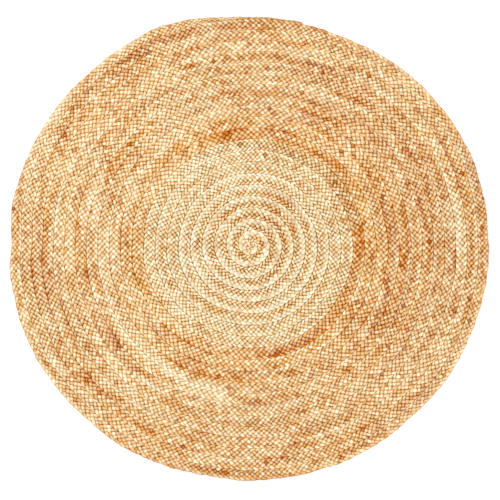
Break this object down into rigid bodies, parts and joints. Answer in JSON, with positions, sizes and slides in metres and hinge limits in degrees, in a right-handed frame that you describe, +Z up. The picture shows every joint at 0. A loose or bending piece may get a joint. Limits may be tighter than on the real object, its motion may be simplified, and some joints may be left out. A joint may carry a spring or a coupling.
{
  "type": "round braided area rug",
  "caption": "Flat round rug of jute plait wound outwards in a spiral and laced edge to edge, with a tapered tail on its rim.",
  "frame": {"origin": "on the surface the rug lies on, under the middle of its bounding box", "axes": "+Z up out of the face that is walked on; +X along the rug's slightly longer diameter; the plait's tail ends on the rim near +Y"},
  "size_m": [1.2194, 1.1792, 0.011],
  "materials": {
    "pale_jute": "matte, fibrous",
    "golden_jute": "matte, fibrous",
    "lacing_thread": "matte twisted thread"
  },
  "bodies": {
    "root": {"centre_coil": "pale_jute", "braid_turn_01": "pale_jute", "braid_turn_02": "pale_jute", "braid_turn_03": "pale_jute", "braid_turn_04": "pale_jute", "braid_turn_05": "pale_jute", "braid_turn_06": "pale_jute", "braid_turn_07": "pale_jute", "braid_turn_08": "pale_jute", "braid_turn_09": "golden_jute", "braid_turn_10": "golden_jute", "braid_turn_11": "golden_jute", "braid_turn_12": "golden_jute", "braid_turn_13": "golden_jute", "braid_turn_14": "golden_jute", "braid_turn_15": "golden_jute", "braid_turn_16": "golden_jute", "braid_turn_17": "golden_jute", "braid_turn_18": "golden_jute", "braid_turn_19": "golden_jute", "braid_tail": "golden_jute", "seam_thread_01": "lacing_thread", "seam_thread_02": "lacing_thread", "seam_thread_03": "lacing_thread", "seam_thread_04": "lacing_thread", "seam_thread_05": "lacing_thread", "seam_thread_06": "lacing_thread", "seam_thread_07": "lacing_thread", "seam_thread_08": "lacing_thread", "seam_thread_09": "lacing_thread", "seam_thread_10": "lacing_thread", "seam_thread_11": "lacing_thread", "seam_thread_12": "lacing_thread", "seam_thread_13": "lacing_thread", "seam_thread_14": "lacing_thread", "seam_thread_15": "lacing_thread", "seam_thread_16": "lacing_thread", "seam_thread_17": "lacing_thread", "seam_thread_18": "lacing_thread", "seam_thread_19": "lacing_thread", "seam_thread_20": "lacing_thread"}
  },
  "joints": []
}
